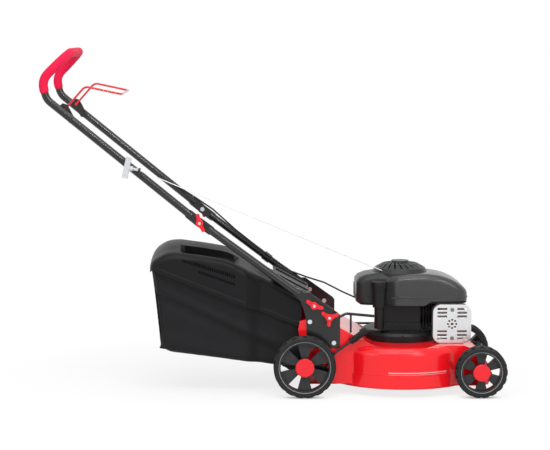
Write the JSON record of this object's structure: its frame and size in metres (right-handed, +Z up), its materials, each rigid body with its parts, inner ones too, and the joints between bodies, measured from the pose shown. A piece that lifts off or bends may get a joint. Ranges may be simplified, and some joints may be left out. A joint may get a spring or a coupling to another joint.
{
  "type": "push lawn mower",
  "caption": "Petrol push lawn mower with pressed steel deck, vertical shaft engine, folding tubular handle and rear grass catcher.",
  "frame": {"origin": "on the ground, below the middle of the bounding box", "axes": "+X forward (mowing direction), +Y to the left, +Z up"},
  "size_m": [1.341, 0.4586, 1.0013],
  "materials": {
    "deck_paint": "gloss",
    "black_paint": "satin",
    "zinc": "satin",
    "black_plastic": "satin",
    "grey_plastic": "satin",
    "dark_plastic": "satin",
    "red_plastic": "satin",
    "foam": "matte",
    "tyre": "matte",
    "alloy": "satin",
    "black_alloy": "satin",
    "steel": "satin",
    "red_paint": "gloss",
    "rope": "matte",
    "cable": "satin",
    "cloth": "matte",
    "ceramic_white": "gloss"
  },
  "bodies": {
    "chassis": {"deck": "deck_paint", "side_brackets": "black_paint", "lower_tubes": "black_paint", "bolts": "zinc", "flap_rod": "zinc", "brake_cable_lower": "cable", "starter_rope": "rope", "sump": "black_alloy", "cylinder_block": "black_alloy", "spark_plug": "ceramic_white", "engine_shroud": "black_plastic", "starter_housing": "dark_plastic", "fuel_tank": "dark_plastic", "oil_filler": "black_plastic", "muffler": "steel", "muffler_guard": "alloy", "air_filter": "black_plastic", "stay_bar": "black_paint"},
    "crank": {"crankshaft": "steel", "flywheel": "alloy", "blade_adapter": "steel", "blade": "steel", "blade_bolt": "zinc"},
    "fuel_cap": {"fuel_cap": "black_plastic"},
    "dipstick": {"dipstick_cap": "black_plastic"},
    "rear_axle": {"rear_axle": "black_paint", "height_lever": "black_paint", "lever_knob": "black_plastic"},
    "front_axle": {"front_axle": "black_paint"},
    "link_rod": {"link_rod": "black_paint"},
    "upper_handle": {"handlebar": "black_paint", "foam_grip": "foam", "bail_brackets": "black_paint", "brake_cable_upper": "cable", "rope_guide": "black_paint", "cable_clamp": "grey_plastic"},
    "bail": {"bail": "red_paint"},
    "starter_grip": {"starter_grip": "grey_plastic"},
    "flap": {"rear_flap": "black_plastic"},
    "catcher": {"bag_lid": "black_plastic", "bag_cloth": "cloth", "bag_frame": "black_paint"},
    "wheel_rear_right": {"tyre_rear_right": "tyre", "rim_rear_right": "black_plastic", "cap_rear_right": "red_plastic"},
    "wheel_rear_left": {"tyre_rear_left": "tyre", "rim_rear_left": "black_plastic", "cap_rear_left": "red_plastic"},
    "wheel_front_right": {"tyre_front_right": "tyre", "rim_front_right": "black_plastic", "cap_front_right": "red_plastic"},
    "wheel_front_left": {"tyre_front_left": "tyre", "rim_front_left": "black_plastic", "cap_front_left": "red_plastic"},
    "wing_upper_right": {"wing_upper_right": "red_plastic"},
    "wing_upper_left": {"wing_upper_left": "red_plastic"},
    "wing_lower_right_rear": {"wing_lower_right_rear": "red_plastic"},
    "wing_lower_right_front": {"wing_lower_right_front": "red_plastic"},
    "wing_lower_left_rear": {"wing_lower_left_rear": "red_plastic"},
    "wing_lower_left_front": {"wing_lower_left_front": "red_plastic"}
  },
  "joints": [
    {"name": "height_lever", "type": "hinge", "parent": "chassis", "child": "rear_axle", "pos_m": [0.14589, 0, 0.07605], "axis": [0, 1, 0], "range_deg": [-26, 0]},
    {"name": "front_axle_turn", "type": "hinge", "parent": "chassis", "child": "front_axle", "pos_m": [0.62197, 0, 0.06092], "axis": [0, 1, 0], "range_deg": [-56, 0]},
    {"name": "link_turn", "type": "hinge", "parent": "rear_axle", "child": "link_rod", "pos_m": [0.16029, 0, 0.13841], "axis": [0, 1, 0], "range_deg": [0, 26]},
    {"name": "wheel_rear_right_spin", "type": "hinge", "parent": "rear_axle", "child": "wheel_rear_right", "pos_m": [0.08548, -0.205, 0.09], "axis": [0, 1, 0], "continuous": true},
    {"name": "wheel_rear_left_spin", "type": "hinge", "parent": "rear_axle", "child": "wheel_rear_left", "pos_m": [0.08548, 0.205, 0.09], "axis": [0, 1, 0], "continuous": true},
    {"name": "wheel_front_right_spin", "type": "hinge", "parent": "front_axle", "child": "wheel_front_right", "pos_m": [0.59548, -0.205, 0.075], "axis": [0, 1, 0], "continuous": true},
    {"name": "wheel_front_left_spin", "type": "hinge", "parent": "front_axle", "child": "wheel_front_left", "pos_m": [0.59548, 0.205, 0.075], "axis": [0, 1, 0], "continuous": true},
    {"name": "blade_spin", "type": "hinge", "parent": "chassis", "child": "crank", "pos_m": [0.37548, 0, 0.15], "axis": [0, 0, 1], "continuous": true},
    {"name": "fuel_cap_turn", "type": "hinge", "parent": "chassis", "child": "fuel_cap", "pos_m": [0.27748, 0.092, 0.355], "axis": [0, 0, 1], "continuous": true},
    {"name": "dipstick_turn", "type": "hinge", "parent": "chassis", "child": "dipstick", "pos_m": [0.30748, -0.092, 0.31], "axis": [0, 0, 1], "continuous": true},
    {"name": "handle_fold", "type": "hinge", "parent": "chassis", "child": "upper_handle", "pos_m": [-0.21652, 0, 0.507], "axis": [0, 1, 0], "range_deg": [0, 120], "deforming": ["starter_rope", "brake_cable_lower"]},
    {"name": "bail_squeeze", "type": "hinge", "parent": "upper_handle", "child": "bail", "pos_m": [-0.59852, 0, 0.829], "axis": [0, -1, 0], "range_deg": [0, 58], "stiffness_Nm_per_rad": 0.6, "springref_deg": -20.05},
    {"name": "starter_pull", "type": "slide", "parent": "upper_handle", "child": "starter_grip", "axis": [-0.9781, 0, 0.2079], "range_m": [0, 0.45], "stiffness_N_per_m": 12, "springref_m": -0.5, "deforming": ["starter_rope"]},
    {"name": "flap_lift", "type": "hinge", "parent": "chassis", "child": "flap", "pos_m": [0.09948, 0, 0.279], "axis": [0, 1, 0], "range_deg": [0, 60]},
    {"name": "catcher_lift_off", "type": "slide", "parent": "chassis", "child": "catcher", "axis": [-0.8829, 0, 0.4695], "range_m": [0, 0.5]},
    {"name": "wing_upper_right_turn", "type": "hinge", "parent": "chassis", "child": "wing_upper_right", "pos_m": [-0.21652, -0.21, 0.507], "axis": [0, 1, 0], "continuous": true},
    {"name": "wing_upper_left_turn", "type": "hinge", "parent": "chassis", "child": "wing_upper_left", "pos_m": [-0.21652, 0.21, 0.507], "axis": [0, 1, 0], "continuous": true},
    {"name": "wing_lower_right_rear_turn", "type": "hinge", "parent": "chassis", "child": "wing_lower_right_rear", "pos_m": [0.11348, -0.175, 0.263], "axis": [0, 1, 0], "continuous": true},
    {"name": "wing_lower_right_front_turn", "type": "hinge", "parent": "chassis", "child": "wing_lower_right_front", "pos_m": [0.15748, -0.175, 0.228], "axis": [0, 1, 0], "continuous": true},
    {"name": "wing_lower_left_rear_turn", "type": "hinge", "parent": "chassis", "child": "wing_lower_left_rear", "pos_m": [0.11348, 0.175, 0.263], "axis": [0, 1, 0], "continuous": true},
    {"name": "wing_lower_left_front_turn", "type": "hinge", "parent": "chassis", "child": "wing_lower_left_front", "pos_m": [0.15748, 0.175, 0.228], "axis": [0, 1, 0], "continuous": true}
  ],
  "couplings": [
    {"joint": "front_axle_turn", "follows": "height_lever", "ratio": 2.1538},
    {"joint": "link_turn", "follows": "height_lever", "ratio": -1}
  ]
}
